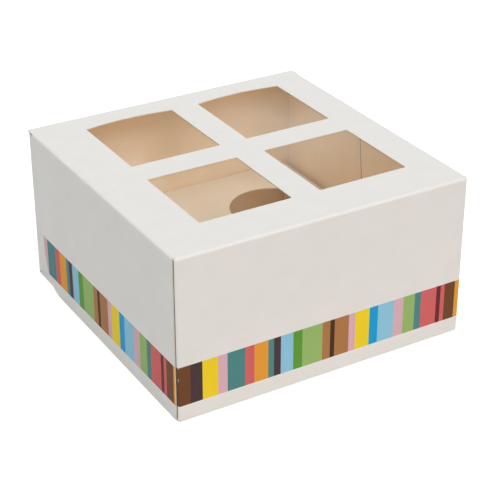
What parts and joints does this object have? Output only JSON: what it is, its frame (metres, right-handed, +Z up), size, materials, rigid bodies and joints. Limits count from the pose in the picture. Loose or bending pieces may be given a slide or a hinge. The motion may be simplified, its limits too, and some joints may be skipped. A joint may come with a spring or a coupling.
{
  "type": "windowed cupcake box",
  "caption": "Square folding carton with a hinged lid, clear film windows in the top and a card insert with round holes for cupcakes.",
  "frame": {"origin": "middle of the closed box's underside, on the surface it stands on", "axes": "+X to the right along the front, +Y from the front towards the hinge, +Z up"},
  "size_m": [0.165, 0.165, 0.088],
  "materials": {
    "tray_board": "white coated outside, uncoated tan inside",
    "insert_card": "uncoated tan",
    "lid_board": "white coated outside with a printed striped band",
    "clear_film": "clear film"
  },
  "bodies": {
    "tray": {"base_tray": "tray_board", "cupcake_insert": "insert_card"},
    "lid": {"lid": "lid_board", "window_film": "clear_film"}
  },
  "joints": [
    {"name": "lid_hinge", "type": "hinge", "parent": "tray", "child": "lid", "pos_m": [0, 0.0825, 0.08725], "axis": [-1, 0, 0], "range_deg": [0, 180]}
  ]
}
